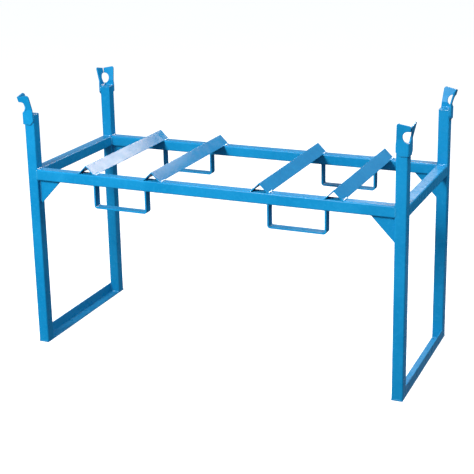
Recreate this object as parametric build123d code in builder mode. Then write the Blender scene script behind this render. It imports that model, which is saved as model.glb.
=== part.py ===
from build123d import *
import os
from math import atan, sqrt, tan

# Stackable storage rack for tyres: a welded frame of square steel tube with four inverted-V cradles
# across it, bent loops under the long rails for forklift tines, and folded guides on the post tops
# that catch the feet of the rack stacked above.
# X runs along the rack's length, Y towards its rear and Z up. The origin is on the ground, under the
# middle of the rack. All sizes are in millimetres.

# Frame
rack_length = 1780      # over the posts
rack_depth = 740        # over the posts
rail_top = 850
post_top = 1105         # top of the post caps
tube_size = 50          # square tube of the posts and rails
tube_wall = 3
tube_radius = 6
cap_thick = 4

# Base angles: the posts stand on the flat leg, with the upright leg between them
base_leg = 50
base_thick = 5
base_bend_radius = 4

# Cradles: equal angles laid across the long rails with their corners up
cradle_leg = 60
cradle_thick = 4
cradle_root_radius = 5
cradle_crest_radius = 2
bay_centre = 418        # from the middle of the rack to the middle of each pair of cradles
cradle_pitch = 328      # between the corners of one pair

# Fork loops: flat bar bent to a U and welded under the long rails
loop_width = 264        # outside
loop_drop = 105         # outside, below the rail
loop_bar_width = 40
loop_bar_thick = 8
loop_bend_radius = 10   # on the bar's middle line

# Gussets between the posts and the undersides of the long rails
gusset_along = 105
gusset_down = 110
gusset_thick = 6
gusset_tip = 5

# Stacking guides: plates folded round the outer corner of each post, flared at the top
guide_thick = 6
guide_bottom = 1060
guide_top = 1198
guide_fold_height = 1128
guide_flare = 18        # how far the top edge leans out
guide_taper = 8
guide_drop = 14         # the top edge falls by this towards the folded corner
guide_clip = 15         # cut off the lower free corners
guide_corner_radius = 10
guide_fold_radius = 8
eye_height = 1138       # middle of the crane eye on the folded corner
eye_radius = 25
slit_foot_width = 3     # slit between the two flared wings, where it leaves the eye
slit_mouth_width = 9    # and where it opens at the top

edge_radius = 1         # broken edges of plate and bar

# Places worked out from the sizes above
post_face_x = rack_length / 2
post_face_y = rack_depth / 2
post_x = post_face_x - tube_size / 2
post_y = post_face_y - tube_size / 2
inner_x = post_face_x - tube_size
inner_y = post_face_y - tube_size
rail_middle = rail_top - tube_size / 2
rail_bottom = rail_top - tube_size

corners = {"front_left": (-1, -1), "front_right": (1, -1), "rear_left": (-1, 1), "rear_right": (1, 1)}
long_sides = {"front": -1, "rear": 1}
end_sides = {"left": -1, "right": 1}

os.makedirs("parts", exist_ok=True)


def save(piece, name):
    """Label a finished piece and write it to its own file."""
    piece.label = name
    export_step(piece, f"parts/{name}.step")


def square_tube(start, direction, length):
    """The frame's square tube, run from a start point along a direction."""
    with BuildPart() as run:
        with BuildSketch(Plane(origin=start, z_dir=direction)):
            RectangleRounded(tube_size, tube_size, tube_radius)
            bore = tube_size - 2 * tube_wall
            RectangleRounded(bore, bore, tube_radius - tube_wall, mode=Mode.SUBTRACT)
        extrude(amount=length)
    return run.part


# Posts stand on the base angles, and a welded cap closes each one.
for corner, (side_x, side_y) in corners.items():
    foot = (side_x * post_x, side_y * post_y, base_thick)
    post = square_tube(foot, (0, 0, 1), post_top - cap_thick - base_thick)
    save(post, f"post_{corner}")

    with BuildPart() as cap:
        with BuildSketch(Plane((side_x * post_x, side_y * post_y, post_top - cap_thick))):
            RectangleRounded(tube_size, tube_size, tube_radius)
        extrude(amount=cap_thick)
        fillet(cap.faces().sort_by(Axis.Z)[-1].edges(), radius=edge_radius)
    save(cap.part, f"post_cap_{corner}")

# Long rails run between the front posts and between the rear posts.
for side, side_y in long_sides.items():
    long_rail = square_tube((-inner_x, side_y * post_y, rail_middle), (1, 0, 0), 2 * inner_x)
    save(long_rail, f"long_rail_{side}")

# End rails tie the front posts to the rear posts.
for side, side_x in end_sides.items():
    end_rail = square_tube((side_x * post_x, -inner_y, rail_middle), (0, 1, 0), 2 * inner_y)
    save(end_rail, f"end_rail_{side}")

# The base angle is drawn for the right-hand end and mirrored for the left. Its flat leg runs under both
# posts; its upright leg stands between them, flush with their outer faces.
with BuildPart() as base_angle_right:
    with BuildSketch(Plane.XZ.offset(-post_face_y)):
        with BuildLine():
            Polyline(
                (post_face_x, 0),
                (post_face_x, base_leg),
                (post_face_x - base_thick, base_leg),
                (post_face_x - base_thick, base_thick),
                (post_face_x - base_leg, base_thick),
                (post_face_x - base_leg, 0),
                close=True,
            )
        make_face()
    extrude(amount=rack_depth)
    outer_bend = base_angle_right.edges().filter_by(Axis.Y).sort_by(Axis((0, 0, 0), (1, 0, -1)))[-1]
    fillet(outer_bend, radius=base_bend_radius)
    toe_edges = base_angle_right.edges().filter_by(Axis.Y).group_by(Axis.Z)[-1]
    fillet(toe_edges, radius=edge_radius)
    with Locations((post_face_x, -post_face_y, base_thick), (post_face_x, post_face_y, base_thick)):
        Box(
            2 * base_leg, 2 * tube_size, base_leg,
            align=(Align.CENTER, Align.CENTER, Align.MIN), mode=Mode.SUBTRACT,
        )
save(base_angle_right.part, "base_angle_right")

with BuildPart() as base_angle_left:
    mirror(base_angle_right.part, about=Plane.YZ)
save(base_angle_left.part, "base_angle_left")

# Cradles run the whole depth, with both toes flat on the long rails.
cradle_half = cradle_leg / sqrt(2)
cradle_toe = cradle_thick * sqrt(2)
cradle_places = [
    end * bay_centre + side * cradle_pitch / 2
    for end in (-1, 1)
    for side in (-1, 1)
]
for number, cradle_x in enumerate(cradle_places, start=1):
    with BuildPart() as cradle:
        section_plane = Plane(origin=(cradle_x, post_face_y, rail_top), x_dir=(1, 0, 0), z_dir=(0, -1, 0))
        with BuildSketch(section_plane):
            with BuildLine():
                Polyline(
                    (-cradle_half, 0),
                    (0, cradle_half),
                    (cradle_half, 0),
                    (cradle_half - cradle_toe, 0),
                    (0, cradle_half - cradle_toe),
                    (cradle_toe - cradle_half, 0),
                    close=True,
                )
            make_face()
        extrude(amount=rack_depth)
        root, crest = cradle.edges().filter_by(Axis.Y).group_by(Axis.Z)[-2:]
        fillet(root, radius=cradle_root_radius)
        fillet(crest, radius=cradle_crest_radius)
    save(cradle.part, f"cradle_angle_{number}")

# Fork loops hang under both long rails, one below each pair of cradles.
loop_half = (loop_width - loop_bar_thick) / 2
loop_depth = loop_drop - loop_bar_thick / 2
for side, side_y in long_sides.items():
    for end, side_x in end_sides.items():
        with BuildPart() as loop:
            loop_plane = Plane(
                origin=(side_x * bay_centre, side_y * post_y, rail_bottom), x_dir=(1, 0, 0), z_dir=(0, -1, 0)
            )
            with BuildLine(loop_plane) as middle_line:
                FilletPolyline(
                    (-loop_half, 0),
                    (-loop_half, -loop_depth),
                    (loop_half, -loop_depth),
                    (loop_half, 0),
                    radius=loop_bend_radius,
                )
            start = middle_line.line @ 0
            with BuildSketch(Plane(origin=start, x_dir=(1, 0, 0), z_dir=middle_line.line % 0)):
                RectangleRounded(loop_bar_thick, loop_bar_width, edge_radius)
            sweep(path=middle_line.line)
        save(loop.part, f"fork_loop_{side}_{end}")

# Gussets brace the long rails from below.
for corner, (side_x, side_y) in corners.items():
    with BuildPart() as gusset:
        gusset_plane = Plane(
            origin=(side_x * inner_x, side_y * post_y, rail_bottom),
            x_dir=(-side_x, 0, 0),
            z_dir=(0, side_x, 0),
        )
        with BuildSketch(gusset_plane):
            with BuildLine():
                Polyline(
                    (0, 0),
                    (gusset_along, 0),
                    (gusset_along, -gusset_tip),
                    (gusset_tip, -gusset_down),
                    (0, -gusset_down),
                    close=True,
                )
            make_face()
        extrude(amount=gusset_thick / 2, both=True)
    save(gusset.part, f"gusset_{corner}")

# A guide is drawn on the rear right post. Its rear wing is a plate bent outwards above the post, cut to
# outline and mitred at the corner, and the other wing is its mirror image across the diagonal.
lean = guide_flare / (guide_top - guide_fold_height)
inner_fold_height = guide_fold_height + guide_thick * tan(atan(lean) / 2)
inner_top_y = post_face_y + (guide_top - inner_fold_height) * lean
outer_face_y = post_face_y + guide_thick
corner_x = post_face_x + guide_thick / 2
far_x = post_face_x + guide_thick + guide_flare
mitre = Plane(origin=(post_face_x, post_face_y, 0), z_dir=(1, -1, 0))

with BuildPart() as guide:
    with BuildSketch(Plane.YZ.offset(inner_x)):
        with BuildLine():
            Polyline(
                (post_face_y, guide_bottom),
                (outer_face_y, guide_bottom),
                (outer_face_y, guide_fold_height),
                (outer_face_y + guide_flare, guide_top),
                (inner_top_y, guide_top),
                (post_face_y, inner_fold_height),
                close=True,
            )
        make_face()
    extrude(amount=far_x - inner_x)

    with BuildSketch(Plane.XZ.offset(-post_face_y)) as outline:
        with BuildLine():
            Polyline(
                (inner_x, guide_bottom + guide_clip),
                (inner_x + guide_clip, guide_bottom),
                (far_x, guide_bottom),
                (far_x, guide_top - guide_drop),
                (inner_x + guide_taper, guide_top),
                (inner_x, post_top),
                close=True,
            )
        make_face()
        free_corner = outline.vertices().sort_by(Axis.Y)[-1]
        fillet(free_corner, radius=guide_corner_radius)
        with Locations((corner_x, eye_height)):
            Circle(eye_radius, mode=Mode.SUBTRACT)
            Rectangle(eye_radius, 2 * eye_radius, align=(Align.MIN, Align.CENTER), mode=Mode.SUBTRACT)
    extrude(amount=tube_size, both=True, mode=Mode.INTERSECT)
    split(bisect_by=mitre, keep=Keep.BOTTOM)
    mirror(about=mitre)

    slit_plane = Plane(origin=(post_face_x, post_face_y, eye_height), x_dir=(-1, 1, 0), z_dir=(1, 1, 0))
    slit_foot = eye_radius
    slit_mouth = guide_top - eye_height
    with BuildSketch(slit_plane):
        with BuildLine():
            Polyline(
                (-slit_foot_width / 2, 0),
                (-slit_foot_width / 2, slit_foot),
                (-slit_mouth_width / 2, slit_mouth),
                (slit_mouth_width / 2, slit_mouth),
                (slit_foot_width / 2, slit_foot),
                (slit_foot_width / 2, 0),
                close=True,
            )
        make_face()
    extrude(amount=tube_size, both=True, mode=Mode.SUBTRACT)

    fold_edge = guide.edges().filter_by(Axis.Z).sort_by(Axis((0, 0, 0), (1, 1, 0)))[-1]
    fillet(fold_edge, radius=guide_fold_radius)

for corner, (side_x, side_y) in corners.items():
    placed_guide = guide.part
    if side_x < 0:
        placed_guide = mirror(placed_guide, about=Plane.YZ)
    if side_y < 0:
        placed_guide = mirror(placed_guide, about=Plane.XZ)
    save(placed_guide, f"stacking_guide_{corner}")
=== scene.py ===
import math
import random

import bmesh
import bpy
from mathutils import Matrix, Vector


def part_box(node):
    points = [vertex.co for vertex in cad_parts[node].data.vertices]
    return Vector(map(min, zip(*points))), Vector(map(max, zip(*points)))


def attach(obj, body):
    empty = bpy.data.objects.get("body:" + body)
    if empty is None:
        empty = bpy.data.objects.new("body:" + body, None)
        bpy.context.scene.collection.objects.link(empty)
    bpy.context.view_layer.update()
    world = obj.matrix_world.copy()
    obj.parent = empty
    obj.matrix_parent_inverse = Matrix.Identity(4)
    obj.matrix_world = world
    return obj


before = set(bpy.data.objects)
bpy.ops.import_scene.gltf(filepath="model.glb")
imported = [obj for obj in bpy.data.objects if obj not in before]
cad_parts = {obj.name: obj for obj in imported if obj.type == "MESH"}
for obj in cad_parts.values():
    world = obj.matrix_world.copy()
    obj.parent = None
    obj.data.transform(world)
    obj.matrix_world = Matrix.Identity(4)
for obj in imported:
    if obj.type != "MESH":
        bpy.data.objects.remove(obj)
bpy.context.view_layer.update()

MM = 0.001
UP = Vector((0, 0, 1))
DOWN = Vector((0, 0, -1))

# ---------------------------------------------------------------- places read from the frame

CORNERS = {"front_left": (-1, -1), "front_right": (1, -1), "rear_left": (-1, 1), "rear_right": (1, 1)}
LONG_SIDES = {"front": -1, "rear": 1}
END_SIDES = {"left": -1, "right": 1}
CRADLES = [name for name in sorted(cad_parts) if name.startswith("cradle_angle")]

rail_low, rail_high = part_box("long_rail_rear")
post_low, post_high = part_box("post_rear_right")
cap_low, cap_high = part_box("post_cap_rear_right")
guide_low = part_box("stacking_guide_rear_right")[0]
base_low, base_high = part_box("base_angle_right")
gusset_low, gusset_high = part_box("gusset_rear_right")

RAIL_TOP = rail_high.z
RAIL_BOTTOM = rail_low.z
INNER_X = post_low.x
INNER_Y = post_low.y
OUTER_X = post_high.x
OUTER_Y = post_high.y
POST_Y = (post_low.y + post_high.y) / 2
POST_FOOT = post_low.z
POST_TOP = cap_high.z
BASE_THICK = POST_FOOT - base_low.z
TUBE_RADIUS = 6 * MM
FORK_BAR_THICK = 8 * MM
GUIDE_CLIP = 15 * MM
DIAGONAL = math.sqrt(0.5)

# ---------------------------------------------------------------- materials


class Nodes:
    """Short calls for building one material's node tree."""

    def __init__(self, name):
        self.material = bpy.data.materials.new(name)
        self.material.use_nodes = True
        self.tree = self.material.node_tree
        self.shader = self.tree.nodes["Principled BSDF"]

    def add(self, kind, inputs=None, **settings):
        node = self.tree.nodes.new(kind)
        for key, value in settings.items():
            setattr(node, key, value)
        for key, value in (inputs or {}).items():
            self.feed(node.inputs[key], value)
        return node

    def feed(self, socket, value):
        if isinstance(value, bpy.types.NodeSocket):
            self.tree.links.new(value, socket)
        else:
            socket.default_value = value

    def noise(self, place, scale, detail=2.0, roughness=0.5):
        inputs = {"Vector": place, "Scale": scale, "Detail": detail, "Roughness": roughness}
        return self.add("ShaderNodeTexNoise", inputs).outputs["Fac"]

    def ramp(self, value, low, high, out_low=0.0, out_high=1.0):
        inputs = {"Value": value, "From Min": low, "From Max": high, "To Min": out_low, "To Max": out_high}
        return self.add("ShaderNodeMapRange", inputs).outputs["Result"]

    def math(self, operation, first, second):
        return self.add("ShaderNodeMath", {0: first, 1: second}, operation=operation).outputs[0]

    def mix(self, factor, first, second):
        node = self.add("ShaderNodeMix", data_type="RGBA")
        self.feed(node.inputs["Factor"], factor)
        self.feed(node.inputs[6], first)
        self.feed(node.inputs[7], second)
        return node.outputs[2]

    def stretched(self, place, scale):
        return self.add("ShaderNodeMapping", {"Vector": place, "Scale": scale}).outputs["Vector"]


PAINT = (0.007, 0.222, 0.470, 1)
PAINT_PALE = (0.018, 0.300, 0.57, 1)
PAINT_DEEP = (0.003, 0.185, 0.410, 1)
PRIMER = (0.10, 0.14, 0.17, 1)
DUST = (0.36, 0.42, 0.47, 1)


def blue_paint(name, grain, grain_depth, roughness=0.25, wear=0.2):
    """Gloss enamel over steel: uneven film, pale worn edges with small chips, faint dust on level faces."""
    n = Nodes(name)
    place = n.add("ShaderNodeTexCoord").outputs["Object"]

    # The film is thicker in some places than in others.
    broad = n.noise(place, 4.0, 3.0)
    film = n.mix(n.ramp(broad, 0.35, 0.65), PAINT_DEEP, PAINT)
    fine = n.noise(place, 60.0, 4.0, 0.6)
    film = n.mix(n.ramp(fine, 0.50, 0.80, 0.0, 0.35), film, PAINT_PALE)

    # Paint draws back from sharp edges, and knocks chip them.
    true_normal = n.add("ShaderNodeNewGeometry").outputs["Normal"]
    rounded = n.add("ShaderNodeBevel", {"Radius": 2.2 * MM}, samples=8).outputs["Normal"]
    likeness = n.add("ShaderNodeVectorMath", {0: true_normal, 1: rounded}, operation="DOT_PRODUCT")
    edge = n.ramp(likeness.outputs["Value"], 0.995, 0.90)
    thin = n.math("MULTIPLY", edge, 0.45)
    film = n.mix(thin, film, PAINT_PALE)
    chip_noise = n.noise(place, 85.0, 5.0, 0.7)
    chips = n.math("MULTIPLY", n.ramp(chip_noise, 0.69, 0.72), n.ramp(edge, 0.35, 0.8))
    chips = n.math("MULTIPLY", chips, wear)
    film = n.mix(chips, film, PRIMER)

    # A little dust lies on level faces.
    facing_up = n.add("ShaderNodeSeparateXYZ", {0: true_normal}).outputs["Z"]
    dusty = n.math("MULTIPLY", n.ramp(facing_up, 0.85, 1.0), n.ramp(fine, 0.35, 0.75, 0.0, 0.08))
    film = n.mix(dusty, film, DUST)
    n.feed(n.shader.inputs["Base Color"], film)

    # Orange peel, the steel's own grain under it, and long faint rolling marks.
    peel = n.noise(place, 420.0, 1.0)
    steel = n.noise(n.stretched(place, grain), 1.0, 2.0)
    relief = n.math("ADD", n.math("MULTIPLY", peel, 0.35), steel)
    bump_inputs = {"Strength": 0.3, "Distance": grain_depth, "Height": relief, "Normal": rounded}
    bump = n.add("ShaderNodeBump", bump_inputs).outputs["Normal"]
    n.feed(n.shader.inputs["Normal"], bump)

    gloss = n.ramp(n.noise(place, 22.0, 3.0), 0.3, 0.7, roughness - 0.06, roughness + 0.08)
    gloss = n.math("ADD", gloss, n.math("MULTIPLY", dusty, 0.8))
    n.feed(n.shader.inputs["Roughness"], gloss)
    n.shader.inputs["Specular IOR Level"].default_value = 0.15
    return n.material


def weld_paint():
    """The same enamel on a weld bead, with painted shade where its fine bump sinks and a painted highlight
    where it rises.
    """
    n = Nodes("weld_paint")
    place = n.add("ShaderNodeTexCoord").outputs["Object"]
    speckle = n.noise(place, 240.0, 4.0, 0.65)
    # Painted shade and highlight: the same speckle that drives the bump makes the tone deeper where it is
    # low and paler where it is high.
    film = n.mix(n.ramp(speckle, 0.35, 0.70), PAINT_DEEP, PAINT_PALE)
    n.feed(n.shader.inputs["Base Color"], film)
    bump = n.add("ShaderNodeBump", {"Strength": 0.5, "Distance": 0.4 * MM, "Height": speckle})
    n.feed(n.shader.inputs["Normal"], bump.outputs["Normal"])
    n.feed(n.shader.inputs["Roughness"], n.ramp(speckle, 0.3, 0.7, 0.14, 0.32))
    n.shader.inputs["Coat Weight"].default_value = 0.8
    n.shader.inputs["Coat Roughness"].default_value = 0.08
    return n.material


def floor_paint():
    """Plain pale studio floor."""
    n = Nodes("studio_floor")
    place = n.add("ShaderNodeTexCoord").outputs["Object"]
    tone = n.mix(n.noise(place, 1.5, 2.0), (0.53, 0.535, 0.54, 1), (0.56, 0.56, 0.56, 1))
    n.feed(n.shader.inputs["Base Color"], tone)
    n.shader.inputs["Emission Color"].default_value = (1, 1, 1, 1)
    n.shader.inputs["Emission Strength"].default_value = 0.78
    n.shader.inputs["Roughness"].default_value = 0.9
    n.shader.inputs["Specular IOR Level"].default_value = 0.1
    return n.material


# Rolling marks run along each piece: X for the long rails, Y for cradles and ends, Z for the posts.
FINISHES = {
    "post_": blue_paint("paint_upright_tube", (130, 130, 6), 0.08 * MM),
    "long_rail": blue_paint("paint_long_tube", (6, 130, 130), 0.08 * MM),
    "end_rail": blue_paint("paint_end_tube", (130, 6, 130), 0.08 * MM),
    "cradle_angle": blue_paint("paint_cradle", (160, 9, 160), 0.08 * MM, roughness=0.17, wear=0.2),
    "base_angle": blue_paint("paint_base_angle", (150, 12, 150), 0.16 * MM, roughness=0.28, wear=0.3),
    "fork_loop": blue_paint("paint_flat_bar", (120, 120, 120), 0.12 * MM, roughness=0.26, wear=0.2),
    "gusset": blue_paint("paint_gusset_plate", (70, 70, 70), 0.10 * MM),
    "stacking_guide": blue_paint("paint_guide_plate", (70, 70, 70), 0.12 * MM, wear=0.2),
}
FINISHES["post_cap"] = FINISHES["gusset"]

for node_name, node_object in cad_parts.items():
    kind = max((start for start in FINISHES if node_name.startswith(start)), key=len)
    if not node_object.material_slots:
        node_object.data.materials.append(None)
    for material_slot in node_object.material_slots:
        material_slot.material = FINISHES[kind]

# ---------------------------------------------------------------- weld beads

WELD = weld_paint()
STEP = 1.0 * MM
RIPPLE = 3.4 * MM
SECTION_POINTS = 7
WANDER_STEPS = 6
SUNK = 0.15 * MM
GROOVE = 2.5 * MM


class Weld:
    """One object holding the beads of one joint."""

    def __init__(self, name, seed):
        self.name = name
        self.random = random.Random(seed)
        self.points = []
        self.faces = []

    def bead(self, start, end, leg_a, leg_b, size, crown=1.15, depth=0.6 * MM):
        """A rippled bead from start to end, from leg_a to leg_b about the line between the two pieces."""
        start, end, leg_a, leg_b = Vector(start), Vector(end), Vector(leg_a), Vector(leg_b)
        run = end - start
        steps = max(8, round(run.length / STEP))
        along = run.normalized()
        middle = leg_a + leg_b
        out = middle.normalized() if middle.length > 0.01 else along.cross(leg_a).normalized()
        self._sweep(start, run, steps, leg_a, leg_b, out, size, crown, depth)

    def seam(self, start, end, across, out, width, height, depth=1.5 * MM):
        """A low bead that fills the groove between two flush faces."""
        start, end, across, out = Vector(start), Vector(end), Vector(across), Vector(out)
        run = end - start
        steps = max(8, round(run.length / STEP))
        crown = 2 * height / (width / 2)
        self._sweep(start, run, steps, across, -across, out, width / 2, crown, depth)

    def _sweep(self, start, run, steps, leg_a, leg_b, out, size, crown, depth):
        phase = self.random.random()
        wander = [self.random.uniform(-1, 1) for _ in range(steps // WANDER_STEPS + 3)]
        first = len(self.points)
        ring = SECTION_POINTS + 1
        for i in range(steps + 1):
            t = i / steps
            distance = t * run.length
            ripple = (distance / RIPPLE + phase) % 1.0
            swell = 1 + 0.13 * math.sqrt(1 - ripple) - 0.06
            spot = i / WANDER_STEPS
            drift = wander[int(spot)] * (1 - spot % 1) + wander[int(spot) + 1] * (spot % 1)
            swell *= 1 + 0.09 * drift
            to_end = min(distance, run.length - distance) / (1.1 * size)
            taper = math.sqrt(max(0.0, 1 - max(0.0, 1 - to_end) ** 2))
            reach = size * swell * (0.15 + 0.85 * taper)
            centre = start + run * t
            self.points.append(centre - out * depth)
            for j in range(SECTION_POINTS):
                u = j / (SECTION_POINTS - 1)
                curve = leg_a * (1 - u) ** 2 + out * (2 * u * (1 - u) * crown) + leg_b * u ** 2
                self.points.append(centre + curve * reach - out * SUNK)
        for i in range(steps):
            for j in range(ring):
                a = first + i * ring + j
                b = first + i * ring + (j + 1) % ring
                self.faces.append((a, b, b + ring, a + ring))
        last = first + steps * ring
        self.faces.append(tuple(first + j for j in reversed(range(ring))))
        self.faces.append(tuple(last + j for j in range(ring)))

    def done(self):
        mesh = bpy.data.meshes.new(self.name)
        mesh.from_pydata([tuple(p) for p in self.points], [], self.faces)
        mesh.validate()
        for face in mesh.polygons:
            face.use_smooth = True
        piece = bpy.data.objects.new(self.name, mesh)
        bpy.context.scene.collection.objects.link(piece)
        recalculate_normals(piece)
        mesh.materials.append(WELD)
        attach(piece, "root")
        return piece


def recalculate_normals(piece):
    shell = bmesh.new()
    shell.from_mesh(piece.data)
    bmesh.ops.recalc_face_normals(shell, faces=shell.faces)
    shell.to_mesh(piece.data)
    shell.free()


def cradle_welds():
    """Both toes of each cradle are welded across each long rail."""
    for number, node in enumerate(CRADLES):
        low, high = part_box(node)
        for side, side_y in LONG_SIDES.items():
            weld = Weld(f"weld_{node}_{side}", 100 + number)
            near = side_y * (OUTER_Y - 3 * MM)
            far = side_y * (INNER_Y + 4 * MM)
            for x, out_x in ((low.x, -1), (high.x, 1)):
                leg = (-out_x * DIAGONAL, 0, DIAGONAL)
                weld.bead((x, near, RAIL_TOP), (x, far, RAIL_TOP), (out_x, 0, 0), leg, 6.5 * MM)
            weld.done()


def fork_loop_welds():
    """Both legs of each loop are welded to the underside of the rail, inside and outside."""
    for side, side_y in LONG_SIDES.items():
        for end in END_SIDES:
            node = f"fork_loop_{side}_{end}"
            low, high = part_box(node)
            weld = Weld(f"weld_{node}", 200 + len(node))
            left_leg = ((low.x, -1), (low.x + FORK_BAR_THICK, 1))
            right_leg = ((high.x - FORK_BAR_THICK, -1), (high.x, 1))
            for face_x, out_x in left_leg + right_leg:
                start = (face_x, low.y + 2 * MM, RAIL_BOTTOM)
                stop = (face_x, high.y - 2 * MM, RAIL_BOTTOM)
                weld.bead(start, stop, (out_x, 0, 0), DOWN, 4.5 * MM)
            weld.done()


def gusset_welds(corner, side_x, side_y):
    """Each gusset is welded on both faces, along the rail and down the post."""
    low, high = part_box(f"gusset_{corner}")
    weld = Weld(f"weld_gusset_{corner}", 300 + side_x + 3 * side_y)
    post_x = side_x * INNER_X
    tip_x = side_x * (INNER_X - (high.x - low.x) + 3 * MM)
    tip_z = low.z + 3 * MM
    for face_y, out_y in ((low.y, -1), (high.y, 1)):
        out = (0, out_y, 0)
        inside_corner = (post_x, face_y, RAIL_BOTTOM)
        weld.bead(inside_corner, (tip_x, face_y, RAIL_BOTTOM), out, DOWN, 4 * MM)
        weld.bead(inside_corner, (post_x, face_y, tip_z), out, (-side_x, 0, 0), 4 * MM)
    weld.done()


def rail_welds(corner, side_x, side_y):
    """Long and end rails are welded all round to the posts."""
    weld = Weld(f"weld_rails_{corner}", 400 + side_x + 3 * side_y)
    flat = TUBE_RADIUS - 1 * MM
    x = side_x * INNER_X
    y = side_y * INNER_Y
    inward_x = (-side_x, 0, 0)
    inward_y = (0, -side_y, 0)
    near_y, far_y = side_y * (OUTER_Y - flat), side_y * (INNER_Y + flat)
    near_x, far_x = side_x * (OUTER_X - flat), side_x * (INNER_X + flat)
    gusset_half = (gusset_high.y - gusset_low.y) / 2 + 4 * MM
    weld.bead((x, near_y, RAIL_TOP), (x, far_y, RAIL_TOP), UP, inward_x, 5 * MM)
    weld.bead((near_x, y, RAIL_TOP), (far_x, y, RAIL_TOP), UP, inward_y, 5 * MM)
    for edge_y, gusset_side in ((near_y, 1), (far_y, -1)):
        stop_y = side_y * (POST_Y + gusset_side * gusset_half)
        weld.bead((x, edge_y, RAIL_BOTTOM), (x, stop_y, RAIL_BOTTOM), DOWN, inward_x, 4.5 * MM)
    weld.bead((near_x, y, RAIL_BOTTOM), (far_x, y, RAIL_BOTTOM), DOWN, inward_y, 5 * MM)
    low_z, high_z = RAIL_BOTTOM + flat, RAIL_TOP - flat
    seam_x, face_x = side_x * (INNER_X + GROOVE), side_x * OUTER_X
    seam_y, face_y = side_y * (INNER_Y + GROOVE), side_y * OUTER_Y
    width, height = 8 * MM, 0.6 * MM
    weld.seam((seam_x, face_y, low_z), (seam_x, face_y, high_z), (1, 0, 0), (0, side_y, 0), width, height)
    weld.seam((face_x, seam_y, low_z), (face_x, seam_y, high_z), (0, 1, 0), (side_x, 0, 0), width, height)
    weld.bead((x, y, low_z), (x, y, high_z), inward_x, inward_y, 6 * MM)
    weld.done()


def foot_welds(corner, side_x, side_y):
    """Each post stands on the flat leg of the base angle, and the upright leg butts against it."""
    weld = Weld(f"weld_foot_{corner}", 500 + side_x + 3 * side_y)
    leg_top = base_high.z
    leg_inner_x = side_x * (OUTER_X - BASE_THICK)
    inward_x = (-side_x, 0, 0)
    inward_y = (0, -side_y, 0)
    out_x = (side_x, 0, 0)
    out_y = (0, side_y, 0)
    face_x = side_x * OUTER_X
    face_y = side_y * OUTER_Y
    butt_y = side_y * INNER_Y
    inset = 2 * MM
    size = 5 * MM
    # On the flat leg, against the post; then up the inside corner and over the top of the upright leg.
    inside_corner = (leg_inner_x, butt_y, POST_FOOT)
    top_corner = (leg_inner_x, butt_y, leg_top)
    weld.bead((side_x * (INNER_X + inset), butt_y, POST_FOOT), inside_corner, UP, inward_y, size)
    weld.bead(inside_corner, (leg_inner_x, butt_y, leg_top - inset), inward_x, inward_y, size)
    weld.bead(top_corner, (side_x * (OUTER_X - inset), butt_y, leg_top), UP, inward_y, size)
    # Outside, in the groove over the tube's round corner, and along the outer foot of the post.
    groove_y = side_y * (INNER_Y + GROOVE)
    groove_foot = (face_x, groove_y, POST_FOOT)
    groove_top = (face_x, groove_y, leg_top - inset)
    weld.seam(groove_foot, groove_top, (0, 1, 0), out_x, 9 * MM, 1.2 * MM)
    near_x, far_x = side_x * (INNER_X + 5 * MM), side_x * (OUTER_X - 5 * MM)
    weld.seam((near_x, face_y, POST_FOOT), (far_x, face_y, POST_FOOT), UP, out_y, 5 * MM, 0.9 * MM)
    weld.done()


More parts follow.
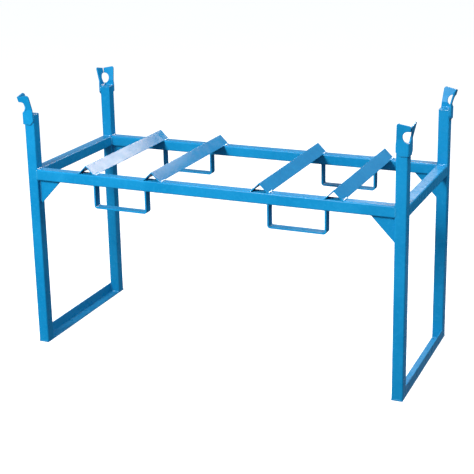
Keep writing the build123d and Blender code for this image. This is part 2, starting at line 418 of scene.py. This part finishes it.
def guide_welds(corner, side_x, side_y):
    """Guides are welded to the post below, down their free edges and to the cap; the cap to the tube."""
    weld = Weld(f"weld_guide_{corner}", 600 + side_x + 3 * side_y)
    bottom = guide_low.z
    inward_x = (-side_x, 0, 0)
    inward_y = (0, -side_y, 0)
    out_x = (side_x, 0, 0)
    out_y = (0, side_y, 0)
    fold = 7 * MM
    free_x = side_x * (INNER_X + GUIDE_CLIP)
    free_y = side_y * (INNER_Y + GUIDE_CLIP)
    face_x = side_x * OUTER_X
    face_y = side_y * OUTER_Y
    edge_x = side_x * INNER_X
    edge_y = side_y * INNER_Y
    # Under the plate, and up its clipped corners.
    weld.bead((free_x, face_y, bottom), (side_x * (OUTER_X - fold), face_y, bottom), DOWN, out_y, 5 * MM)
    weld.bead((face_x, free_y, bottom), (face_x, side_y * (OUTER_Y - fold), bottom), DOWN, out_x, 5 * MM)
    clip_leg_x = (-side_x * DIAGONAL, 0, -DIAGONAL)
    clip_leg_y = (0, -side_y * DIAGONAL, -DIAGONAL)
    short = 4 * MM
    clip_z = bottom + GUIDE_CLIP - short
    clip_end_x = (side_x * (INNER_X + short), face_y, clip_z)
    clip_end_y = (face_x, side_y * (INNER_Y + short), clip_z)
    weld.bead((free_x, face_y, bottom), clip_end_x, clip_leg_x, out_y, 4 * MM)
    weld.bead((face_x, free_y, bottom), clip_end_y, clip_leg_y, out_x, 4 * MM)
    # Down the free edges, in the groove over the tube's round corner.
    high_z = POST_TOP - 4 * MM
    low_z = bottom + GUIDE_CLIP + 2 * MM
    seam_x = side_x * (OUTER_X - 1.5 * MM)
    seam_y = side_y * (OUTER_Y - 1.5 * MM)
    width, height = 7 * MM, 1.2 * MM
    weld.seam((edge_x, seam_y, low_z), (edge_x, seam_y, high_z), (0, 1, 0), inward_x, width, height)
    weld.seam((seam_x, edge_y, low_z), (seam_x, edge_y, high_z), (1, 0, 0), inward_y, width, height)
    # On top of the cap, against both wings.
    inset = 3 * MM
    near_x, far_x = side_x * (INNER_X + inset), side_x * (OUTER_X - inset)
    near_y, far_y = side_y * (INNER_Y + inset), side_y * (OUTER_Y - inset)
    weld.bead((near_x, face_y, POST_TOP), (far_x, face_y, POST_TOP), UP, inward_y, 5 * MM)
    weld.bead((face_x, near_y, POST_TOP), (face_x, far_y, POST_TOP), UP, inward_x, 5 * MM)
    # Round the cap's two free sides.
    cap_z = cap_low.z
    near_x, far_x = side_x * (INNER_X + 5 * MM), side_x * (OUTER_X - 6 * MM)
    near_y, far_y = side_y * (INNER_Y + 5 * MM), side_y * (OUTER_Y - 6 * MM)
    weld.seam((edge_x, near_y, cap_z), (edge_x, far_y, cap_z), UP, inward_x, 5 * MM, 0.9 * MM)
    weld.seam((near_x, edge_y, cap_z), (far_x, edge_y, cap_z), UP, inward_y, 5 * MM, 0.9 * MM)
    weld.done()


cradle_welds()
fork_loop_welds()
for corner_name, (corner_x, corner_y) in CORNERS.items():
    gusset_welds(corner_name, corner_x, corner_y)
    rail_welds(corner_name, corner_x, corner_y)
    foot_welds(corner_name, corner_x, corner_y)
    guide_welds(corner_name, corner_x, corner_y)

# ---------------------------------------------------------------- floor, light and camera

scene = bpy.context.scene


def studio_floor():
    """A wide disc, so that no edge shows from any side."""
    radius = 300.0
    sides = 96
    angles = [2 * math.pi * i / sides for i in range(sides)]
    rim = [(radius * math.cos(angle), radius * math.sin(angle), 0) for angle in angles]
    mesh = bpy.data.meshes.new("studio_floor")
    mesh.from_pydata(rim, [], [tuple(range(sides))])
    floor = bpy.data.objects.new("studio_floor", mesh)
    scene.collection.objects.link(floor)
    mesh.materials.append(floor_paint())
    floor.visible_glossy = False
    floor.visible_diffuse = False


def soft_box(name, place, target, width, height, power, diffuse=True, glossy=True):
    light = bpy.data.lights.new(name, "AREA")
    light.shape = "RECTANGLE"
    light.size, light.size_y = width, height
    light.energy = power
    lamp = bpy.data.objects.new(name, light)
    scene.collection.objects.link(lamp)
    lamp.location = place
    lamp.visible_camera = False
    lamp.visible_diffuse = diffuse
    lamp.visible_glossy = glossy
    lamp.rotation_euler = (Vector(target) - Vector(place)).to_track_quat("-Z", "Y").to_euler()
    return light


def studio_light():
    """Four soft boxes round the rack, the key light at the front left, and a sky palest at the horizon."""
    world = bpy.data.worlds.new("studio")
    scene.world = world
    world.use_nodes = True
    tree = world.node_tree
    place = tree.nodes.new("ShaderNodeTexCoord").outputs["Generated"]
    split = tree.nodes.new("ShaderNodeSeparateXYZ")
    tree.links.new(place, split.inputs[0])
    above = tree.nodes.new("ShaderNodeMapRange")
    above.inputs["From Min"].default_value = 0.0
    above.inputs["From Max"].default_value = 0.5
    above.inputs["To Min"].default_value = 0.75
    above.inputs["To Max"].default_value = 0.36
    tree.links.new(split.outputs["Z"], above.inputs["Value"])
    below = tree.nodes.new("ShaderNodeMapRange")
    below.inputs["From Min"].default_value = -0.05
    below.inputs["From Max"].default_value = -0.015
    below.inputs["To Min"].default_value = 0.25
    below.inputs["To Max"].default_value = 1.0
    tree.links.new(split.outputs["Z"], below.inputs["Value"])
    fade = tree.nodes.new("ShaderNodeMath")
    fade.operation = "MULTIPLY"
    tree.links.new(above.outputs["Result"], fade.inputs[0])
    tree.links.new(below.outputs["Result"], fade.inputs[1])
    background = tree.nodes["Background"]
    background.inputs["Color"].default_value = (0.84, 0.93, 1.06, 1)
    tree.links.new(fade.outputs[0], background.inputs["Strength"])
    key = soft_box("key_front_left", (-1.3, -4.2, 3.2), (0, 0, 0.7), 1.3, 1.3, 345)
    key.color = (1.0, 1.0, 0.97)
    soft_box("top_right", (2.0, 0.3, 3.6), (0.2, 0, 0.8), 1.5, 1.5, 80)
    soft_box("rear_fill", (-1.4, 4.0, 3.0), (0, 0, 0.7), 1.5, 1.5, 50, glossy=False)
    strip = soft_box("rear_strip", (0.26, 3.4, 3.54), (0.26, 0, 0.8), 1.4, 1.6, 150, diffuse=False)
    strip.color = (1.0, 0.80, 0.62)
    dark_card()


def dark_card():
    """A card behind the rack that only reflections see. It keeps the right-hand faces deep blue."""
    left, right, place_y, top = -1.2, 3.2, 1.6, 1.15
    corners = [(left, place_y, 0), (right, place_y, 0), (right, place_y, top), (left, place_y, top)]
    mesh = bpy.data.meshes.new("dark_card")
    mesh.from_pydata(corners, [], [(0, 1, 2, 3)])
    card = bpy.data.objects.new("dark_card", mesh)
    scene.collection.objects.link(card)
    n = Nodes("dark_card")
    n.shader.inputs["Base Color"].default_value = (0.03, 0.04, 0.05, 1)
    n.shader.inputs["Roughness"].default_value = 1.0
    mesh.materials.append(n.material)
    card.visible_camera = False
    card.visible_diffuse = False
    card.visible_shadow = False
    card.visible_transmission = False


def camera():
    """In front of the rack, to its right and above it. The shift keeps the uprights nearly parallel."""
    data = bpy.data.cameras.new("camera")
    eye = bpy.data.objects.new("camera", data)
    scene.collection.objects.link(eye)
    yaw, pitch, roll = math.radians(23.62), math.radians(15.75), math.radians(-1.12)
    aim = Matrix.Rotation(yaw, 4, "Z") @ Matrix.Rotation(math.pi / 2 - pitch, 4, "X")
    turn = aim @ Matrix.Rotation(roll, 4, "Z")
    eye.matrix_world = Matrix.Translation((2.042, -4.687, 2.224)) @ turn
    data.sensor_width = 36
    data.lens = 88.2
    data.shift_y = -0.12
    data.clip_end = 1000
    scene.camera = eye


studio_floor()
studio_light()
camera()
scene.view_settings.view_transform = "Standard"
